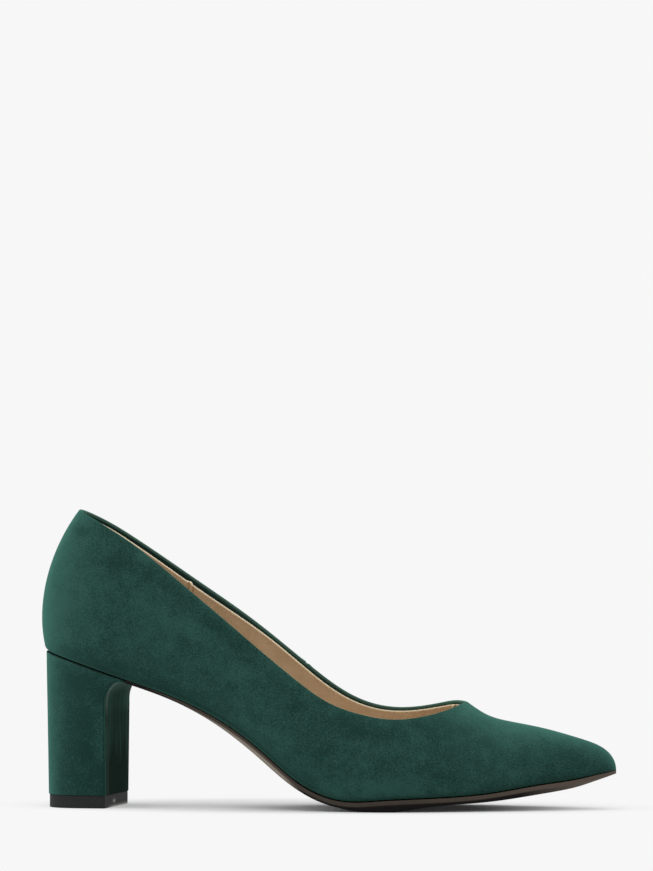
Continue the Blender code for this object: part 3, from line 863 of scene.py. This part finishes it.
def make_heel(napped, pressed):
    """Suede cover of the block heel: a flat breast that curves forward into the sole, and soft edges.

    Painted shade darkens the side round the breast's edges and the groove at its top, and painted light pales
    the breast's forward curve, a line inside its edges and its lip.
    """
    low = TIP_HEIGHT + CEMENT
    height = bottom("height", SOLE_REAR_STATION) - low
    bend = quarter(ROUND_POINTS)
    foot, head = HEEL_EDGE / height * (1 - np.cos(bend)), 1 - HEEL_TOP_EDGE / height * (1 - np.sin(bend))
    upright = np.linspace(SMALL_STEP, BREAST_FLARE_START, UPRIGHT_POINTS)
    curved = BREAST_FLARE_START + (head[0] - BREAST_FLARE_START) * np.sin(quarter(FLARE_POINTS)[1:-1])
    share = with_caps(foot, upright, curved, head)
    foot_inset, head_inset = HEEL_EDGE * (1 - np.sin(bend)), HEEL_TOP_EDGE * (1 - np.cos(bend))
    inset = with_caps(foot_inset, 0 * upright, 0 * curved, head_inset)
    stations, ys = closed_block(share, inset, HEEL_CORNER)
    heights = low + share[:, None] * (bottom("height", stations) - GAP - low)
    grid = np.stack([stations, ys, heights], axis=-1)
    breast = np.concatenate([grid[:, -BREAST_STEPS:-1], grid[:, :BREAST_STEPS]], axis=1)
    around = grid[:, BREAST_STEPS - 1:1 - BREAST_STEPS]
    seat_row = len(share) - len(CAP_SHARES) - len(head)
    patches = [around[:seat_row + 1], around[seat_row:], breast]
    nap = [brushed(patch) for patch in patches]
    # Painted shade on the side along the breast's edges, strongest where the breast curves forward.
    edge_shade = between(EDGE_SHADE_TONES, rise_between(patches[0][..., 2], *BREAST_CURVES))
    for corner in (slice(CORNER_STEPS + 1), slice(-CORNER_STEPS - 1, None)):
        nap[0][:, corner] -= edge_shade[:, corner]
    side, up = breast[..., 1], breast[..., 2]
    # Painted light on the breast where it curves forward.
    nap[2] += BREAST_LIGHT_TONE * rise_between(up, *BREAST_PALES)
    from_edge = np.abs(side).max(axis=1, keepdims=True) - np.abs(side)
    # A painted highlight on a line inside the breast's edges and on its lip.
    line = between(LINE_TONES, rise_between(up, *BREAST_CURVES)) * np.where(side < 0, *LINE_SHARES)
    painted_highlight, back = blank(patches), blank(patches)
    painted_highlight[2] += line * hill(from_edge, *HIGHLIGHT_LINE) + LIP_TONE * rise_between(up, *LIP_PALES)
    # Painted shade in the groove at the heel's top edge.
    back[1] += MARGIN_SHADE
    marks = {"nap": nap, "painted_highlight": painted_highlight, "back": back}
    add_piece("heel_cover", patches, [napped, pressed, pressed], "heel", marks)


def make_top_piece(material):
    """Rubber top piece with broken edges, paler along the foot of its front and in a spot there."""
    bend = quarter(BREAK_POINTS)
    upright = np.linspace(TIP_EDGE, TIP_HEIGHT - TIP_EDGE, TIP_POINTS)[1:]
    heights = with_caps(TIP_EDGE * (1 - np.cos(bend)), upright, [TIP_HEIGHT])
    inset = with_caps(TIP_EDGE * (1 - np.sin(bend)), 0 * upright, [TIP_EDGE])
    stations, ys = closed_block(0 * heights, TIP_INSET + inset, TIP_CORNER)
    up = np.broadcast_to(heights[:, None], ys.shape)
    grid = np.stack([stations, ys, up], axis=-1)
    front = rise_between(stations - BREAST_STATION + TIP_INSET, *TIP_FRONT)
    spot = SPOT_TONE * hill(ys, *PALE_SPOT[:2]) * hill(up, *PALE_SPOT[2:])
    marks = {"pale_marked": [front * np.clip(spot + hill(up, *PALE_EDGE), 0, 1)]}
    add_piece("rubber_top_piece", [grid], [material], "heel_tip", marks)


# Materials

# Straight changes of colour: along the shoe, in metres from its middle, and down the sole's edge.
# The lining leather is paler towards the front: painted light, where more light falls inside the shoe.
LINING_PALES = {"From Min": -0.045, "From Max": 0.01, "To Max": 0.32}
SOLE_PALES = {"From Min": 0.04, "From Max": 0.12}
SOLE_BROWNS = {"From Min": 0.085, "From Max": 0.112}
BAND_ENDS = {"From Min": 0.85, "From Max": 1.15}  # shares of the waxed band's height


def linear(hex_colour):
    """An sRGB hex colour as linear red, green, blue and alpha."""
    parts = np.array([int(hex_colour[i:i + 2], 16) for i in (1, 3, 5)]) / 255
    return (*np.where(parts <= 0.04045, parts / 12.92, ((parts + 0.055) / 1.055) ** 2.4).tolist(), 1.0)


def per_mm(size):
    """Texture scale for features of a size in millimetres on coordinates in metres."""
    return 1 / (size * MM)


def add_node(tree, kind, inputs=None, **settings):
    """Adds one shader node with its settings; an input is a value or the output that feeds it."""
    node = tree.nodes.new("ShaderNode" + kind)
    for name, value in settings.items():
        setattr(node, name, value)
    for name, value in (inputs or {}).items():
        if isinstance(value, bpy.types.NodeSocket):
            tree.links.new(value, node.inputs[name])
        else:
            node.inputs[name].default_value = value
    return node


def new_material(name, roughness, specular):
    """A node material, with its tree, its Principled shader and the place of each point in metres."""
    made = bpy.data.materials.new(name)
    made.use_nodes = True
    tree = made.node_tree
    shader = tree.nodes["Principled BSDF"]
    shader.inputs["Roughness"].default_value = roughness
    shader.inputs["Specular IOR Level"].default_value = specular
    return made, tree, shader, add_node(tree, "TexCoord").outputs["Object"]


def paint_light_and_shade(tree, dyed, pale):
    """A suede's dyed colour with its two marks: paler under a painted highlight, nearly black under painted
    shade.
    """
    painted_highlight = add_node(tree, "Attribute", attribute_name="painted_highlight").outputs["Fac"]
    pale_marked = add_node(tree, "Mix", {0: painted_highlight, 6: dyed, 7: linear(pale)}, data_type="RGBA").outputs[2]
    # Painted shade: the foot and pressed margin of the upper, the inside of its fold and the groove at the
    # heel's top.
    back = add_node(tree, "Attribute", attribute_name="back").outputs["Fac"]
    return add_node(tree, "Mix", {0: back, 6: pale_marked, 7: linear("#0a0d0b")}, data_type="RGBA").outputs[2]


def napped_suede():
    """Split suede, dyed dark green and brushed: a short nap in soft patches, lighter where it stands up."""
    made, tree, shader, place = new_material("napped_suede", roughness=1.0, specular=0.02)
    # Hairs are finer than the picture shows, so tufts of half a millimetre and more stand for them.
    tuft = add_node(tree, "TexNoise", {"Vector": place, "Scale": per_mm(0.6), "Detail": 1.0}).outputs[0]
    patch = add_node(tree, "TexNoise", {"Vector": place, "Scale": per_mm(6), "Detail": 3.0}).outputs[0]
    # The nap mark is the nap's own tone, with painted light and shade added in places.
    brush = add_node(tree, "Attribute", attribute_name="nap").outputs["Fac"]
    fine = add_node(tree, "Math", {0: tuft, 1: 2.2, 2: -1.2}, operation="MULTIPLY_ADD").outputs[0]
    soft = add_node(tree, "Math", {0: patch, 1: 1.2, 2: fine}, operation="MULTIPLY_ADD").outputs[0]
    tone = add_node(tree, "Math", {0: brush, 1: 0.65, 2: soft}, operation="MULTIPLY_ADD", use_clamp=True)
    shades = {0: tone.outputs[0], 6: linear("#0c1c1a"), 7: linear("#233f3a")}
    green = add_node(tree, "Mix", shades, data_type="RGBA").outputs[2]
    bump = add_node(tree, "Bump", {"Height": tuft, "Strength": 0.4, "Distance": 0.15 * MM})
    tree.links.new(paint_light_and_shade(tree, green, "#455e55"), shader.inputs["Base Color"])
    tree.links.new(bump.outputs["Normal"], shader.inputs["Normal"])
    shader.inputs["Sheen Weight"].default_value = 0.52
    shader.inputs["Sheen Roughness"].default_value = 0.65
    shader.inputs["Sheen Tint"].default_value = linear("#68b09e")
    return made


def pressed_suede():
    """The same suede pressed flat, on the heel's breast and under the shoe: greyer, streaked and dull."""
    made, tree, shader, place = new_material("pressed_suede", roughness=1.0, specular=0.02)
    # The breast is seen almost edge on, so its upright streaks are drawn wide enough to show.
    size = per_mm(30), per_mm(4), per_mm(30)
    wide = add_node(tree, "Mapping", {"Vector": place, "Scale": size}).outputs[0]
    streak = add_node(tree, "TexNoise", {"Vector": wide, "Scale": 1.0, "Detail": 4.0}).outputs[0]
    # The nap mark here includes painted light on the breast's forward curve.
    brush = add_node(tree, "Attribute", attribute_name="nap").outputs["Fac"]
    even = add_node(tree, "Math", {0: streak, 1: 1.1, 2: -0.15}, operation="MULTIPLY_ADD").outputs[0]
    tone = add_node(tree, "Math", {0: brush, 1: 0.8, 2: even}, operation="MULTIPLY_ADD", use_clamp=True)
    shades = {0: tone.outputs[0], 6: linear("#162722"), 7: linear("#3c6256")}
    green = add_node(tree, "Mix", shades, data_type="RGBA").outputs[2]
    bump = add_node(tree, "Bump", {"Height": streak, "Strength": 0.3, "Distance": 0.2 * MM})
    tree.links.new(paint_light_and_shade(tree, green, "#5d7066"), shader.inputs["Base Color"])
    tree.links.new(bump.outputs["Normal"], shader.inputs["Normal"])
    return made


def lining_leather():
    """Pigskin lining leather, tanned and lightly glazed: pale tan, fine grain, cream where it is cut."""
    made, tree, shader, place = new_material("tan_lining_leather", roughness=0.55, specular=0.5)
    grain = add_node(tree, "TexNoise", {"Vector": place, "Scale": per_mm(0.9), "Detail": 2.0}).outputs[0]
    cloud = add_node(tree, "TexNoise", {"Vector": place, "Scale": per_mm(7), "Detail": 3.0}).outputs[0]
    # Painted light: paler towards the front.
    along = add_node(tree, "SeparateXYZ", {"Vector": place}).outputs["X"]
    front = add_node(tree, "MapRange", {"Value": along, **LINING_PALES}).outputs["Result"]
    pale = add_node(tree, "Math", {0: cloud, 1: 0.5, 2: front}, operation="MULTIPLY_ADD", use_clamp=True)
    shades = {0: pale.outputs[0], 6: linear("#a88d6b"), 7: linear("#e0c8a8")}
    tan = add_node(tree, "Mix", shades, data_type="RGBA").outputs[2]
    # Darker in the seams' grooves: stitching and painted shade.
    seam = add_node(tree, "Attribute", attribute_name="seam_stitches_and_shade").outputs["Fac"]
    stitched_and_shaded = add_node(tree, "Mix", {0: seam, 6: tan, 7: linear("#a07a50")}, data_type="RGBA").outputs[2]
    cut = add_node(tree, "Attribute", attribute_name="cut_edge").outputs["Fac"]
    colour = add_node(tree, "Mix", {0: cut, 6: stitched_and_shaded, 7: linear("#f3e2c4")}, data_type="RGBA").outputs[2]
    bump = add_node(tree, "Bump", {"Height": grain, "Strength": 0.25, "Distance": 0.1 * MM})
    tree.links.new(colour, shader.inputs["Base Color"])
    tree.links.new(bump.outputs["Normal"], shader.inputs["Normal"])
    return made


def sole_resin():
    """Moulded resin sole with a stained, waxed edge: dark brown, paler to the toe, nearly black underneath,
    partly from its stain and partly painted shade.

    It is bare and paler on the lower edge at the waist, and brown underneath at the toe.
    """
    made, tree, shader, place = new_material("stained_sole_edge", roughness=0.7, specular=0.1)
    grain = add_node(tree, "TexNoise", {"Vector": place, "Scale": per_mm(1.5), "Detail": 3.0}).outputs[0]
    along = add_node(tree, "SeparateXYZ", {"Vector": place}).outputs["X"]
    toe = add_node(tree, "MapRange", {"Value": along, **SOLE_PALES}).outputs["Result"]
    waxed = add_node(tree, "Math", {0: grain, 1: 0.4, 2: toe}, operation="MULTIPLY_ADD", use_clamp=True)
    shades = {0: waxed.outputs[0], 6: linear("#332d28"), 7: linear("#50473f")}
    brown = add_node(tree, "Mix", shades, data_type="RGBA").outputs[2]
    worn_toe = add_node(tree, "MapRange", {"Value": along, **SOLE_BROWNS}).outputs["Result"]
    # Nearly black under the band from the ball back: partly the edge's stain, partly painted shade.
    shades = {0: worn_toe, 6: linear("#0f0d0c"), 7: linear("#5a5149")}
    under = add_node(tree, "Mix", shades, data_type="RGBA").outputs[2]
    down = add_node(tree, "Attribute", attribute_name="down_edge").outputs["Fac"]
    band = add_node(tree, "MapRange", {"Value": down, **BAND_ENDS}).outputs["Result"]
    colour = add_node(tree, "Mix", {0: band, 6: brown, 7: under}, data_type="RGBA").outputs[2]
    bare = add_node(tree, "Attribute", attribute_name="bare").outputs["Fac"]
    edged = add_node(tree, "Mix", {0: bare, 6: colour, 7: linear("#857b70")}, data_type="RGBA").outputs[2]
    bump = add_node(tree, "Bump", {"Height": grain, "Strength": 0.2, "Distance": 0.1 * MM})
    tree.links.new(edged, shader.inputs["Base Color"])
    tree.links.new(bump.outputs["Normal"], shader.inputs["Normal"])
    return made


def moulded_rubber():
    """Black moulded rubber of the top piece: matt, with a fine cast grain, grey where it is marked pale."""
    made, tree, shader, place = new_material("moulded_rubber", roughness=0.7, specular=0.2)
    grain = add_node(tree, "TexNoise", {"Vector": place, "Scale": per_mm(0.8), "Detail": 2.0}).outputs[0]
    shades = {0: grain, 6: linear("#151716"), 7: linear("#212322")}
    black = add_node(tree, "Mix", shades, data_type="RGBA").outputs[2]
    pale_marked = add_node(tree, "Attribute", attribute_name="pale_marked").outputs["Fac"]
    colour = add_node(tree, "Mix", {0: pale_marked, 6: black, 7: linear("#a8a8a2")}, data_type="RGBA").outputs[2]
    bump = add_node(tree, "Bump", {"Height": grain, "Strength": 0.2, "Distance": 0.1 * MM})
    tree.links.new(colour, shader.inputs["Base Color"])
    tree.links.new(bump.outputs["Normal"], shader.inputs["Normal"])
    return made


# Stage

CAMERA_DISTANCE = 1806.6  # from the middle of the shoe, along the floor
CAMERA_SWING = 8.5  # degrees towards the toe from square on
CAMERA_HEIGHT = 94.8
CAMERA_PITCH = 2.02  # degrees up
FOCAL_PIXELS = 4234.0
IMAGE_HEIGHT = 871
SENSOR = 36.0

# The paper under and behind the shoe, in metres.
PAPER_FRONT = 6.0
PAPER_BACK = 3.0
PAPER_SWEEP = 2.0
PAPER_TALL = 5.0
PAPER_HALF_WIDTH = 8.0
PAPER_POINTS = 24
# It takes the lamps' light on an oval under the shoe and glows evenly outside it; in the oval a share of that
# glow is painted light that lightens the shoe's shadow.
SHADE_HALF_LENGTH = 0.11
SHADE_HALF_WIDTH = 0.055
SHADE_BACK = 0.016  # the oval's middle is this far behind the shoe's
SHADE_FADE = {"From Min": 0.8, "From Max": 1.5}  # shares of the oval between which the light changes
BALL_PLACE = (0.03, 0.0, 0.0)
BALL_FADE = {"From Min": 0.03, "From Max": 0.09}  # distances from the ball
BALL_GLOW = 0.02  # share of the paper's glow under the ball, painted light that lightens the shadow
ARCH_GLOW = 0.33  # and under the arch and the toe
LIGHTS_AIM = (0, 0, 0.06)


def make_camera():
    """Camera at the photograph's angle, looking a little up so that the shoe sits low in the frame."""
    swing, pitch = np.radians(CAMERA_SWING), np.radians(CAMERA_PITCH)
    data = bpy.data.cameras.new("camera")
    data.sensor_fit = "VERTICAL"
    data.sensor_height = SENSOR
    data.lens = FOCAL_PIXELS * SENSOR / IMAGE_HEIGHT
    camera = link("camera", data)
    place = Vector((np.sin(swing), -np.cos(swing), CAMERA_HEIGHT / CAMERA_DISTANCE))
    camera.location = place * CAMERA_DISTANCE * MM
    ahead = Vector((-np.sin(swing) * np.cos(pitch), np.cos(swing) * np.cos(pitch), np.sin(pitch)))
    camera.rotation_euler = ahead.to_track_quat("-Z", "Y").to_euler()
    bpy.context.scene.camera = camera


def make_floor():
    """Pale paper on the floor that sweeps up into a backdrop: a quarter circle between two flat sheets."""
    turn = quarter(PAPER_POINTS)
    curve = PAPER_BACK + PAPER_SWEEP * np.sin(turn)
    depth = np.concatenate([[-PAPER_FRONT], curve, curve[-1:]])
    height = np.concatenate([[0.0], PAPER_SWEEP * (1 - np.cos(turn)), [PAPER_TALL]])
    across = np.array([-PAPER_HALF_WIDTH, PAPER_HALF_WIDTH])
    grid = np.stack(np.broadcast_arrays(across, depth[:, None], height[:, None]), axis=-1)
    data = bpy.data.meshes.new("floor")
    data.from_pydata(grid.reshape(-1, 3).tolist(), [], quads_of(grid).tolist())
    data.shade_smooth()
    data.materials.append(lit_paper())
    floor = link("floor", data)


def lit_paper():
    """Matt white paper that takes the lamps' light close to the shoe and glows evenly further off, with a
    share of painted glow in the shoe's shadow.
    """
    made, tree, shader, place = new_material("lit_paper", roughness=1.0, specular=0.0)
    oval = add_node(tree, "VectorMath", {
        0: place,
        1: (1 / SHADE_HALF_LENGTH, 1 / SHADE_HALF_WIDTH, 0.0),
        2: (0.0, -SHADE_BACK / SHADE_HALF_WIDTH, 0.0),
    }, operation="MULTIPLY_ADD")
    away = add_node(tree, "VectorMath", {0: oval.outputs["Vector"]}, operation="LENGTH")
    ball = add_node(tree, "VectorMath", {0: place, 1: BALL_PLACE}, operation="DISTANCE")
    near = add_node(tree, "MapRange", {
        "Value": ball.outputs["Value"], **BALL_FADE, "To Min": BALL_GLOW, "To Max": ARCH_GLOW,
    }, interpolation_type="SMOOTHSTEP")
    glow = add_node(tree, "MapRange", {
        "Value": away.outputs["Value"], **SHADE_FADE, "To Min": near.outputs["Result"],
    }, interpolation_type="SMOOTHSTEP")
    shader.inputs["Base Color"].default_value = linear("#dadada")
    light = add_node(tree, "Emission", {"Color": linear("#f7f7f7"), "Strength": 1.0})
    mixed = add_node(tree, "MixShader", {
        0: glow.outputs["Result"], 1: shader.outputs[0], 2: light.outputs[0],
    })
    tree.links.new(mixed.outputs[0], tree.nodes["Material Output"].inputs["Surface"])
    return made


def add_panel(name, place, size, energy):
    """One square light panel, turned to the shoe."""
    data = bpy.data.lights.new(name, "AREA")
    data.shape = "SQUARE"
    data.size = size
    data.energy = energy
    panel = link(name, data)
    panel.location = place
    panel.rotation_euler = (Vector(LIGHTS_AIM) - panel.location).to_track_quat("-Z", "Y").to_euler()


def make_light():
    """Soft studio light: a pale surround, a broad panel overhead and a weaker one at the heel's side."""
    world = bpy.data.worlds.new("surround")
    world.use_nodes = True
    surround = world.node_tree.nodes["Background"].inputs
    surround["Color"].default_value = (1, 1, 1, 1)
    surround["Strength"].default_value = 0.8
    bpy.context.scene.world = world
    add_panel("overhead", (-0.1, -0.2, 2.0), size=2.6, energy=26.0)
    add_panel("heel_side", (-1.6, -0.9, 0.9), size=1.2, energy=9.0)
    bpy.context.scene.view_settings.view_transform = "Standard"


suede = napped_suede()
flat_suede = pressed_suede()
tan_leather = lining_leather()
make_camera()
make_upper(suede, flat_suede)
make_lining(tan_leather)
make_sock(tan_leather)
make_outsole(sole_resin())
make_heel(suede, flat_suede)
make_top_piece(moulded_rubber())
make_floor()
make_light()
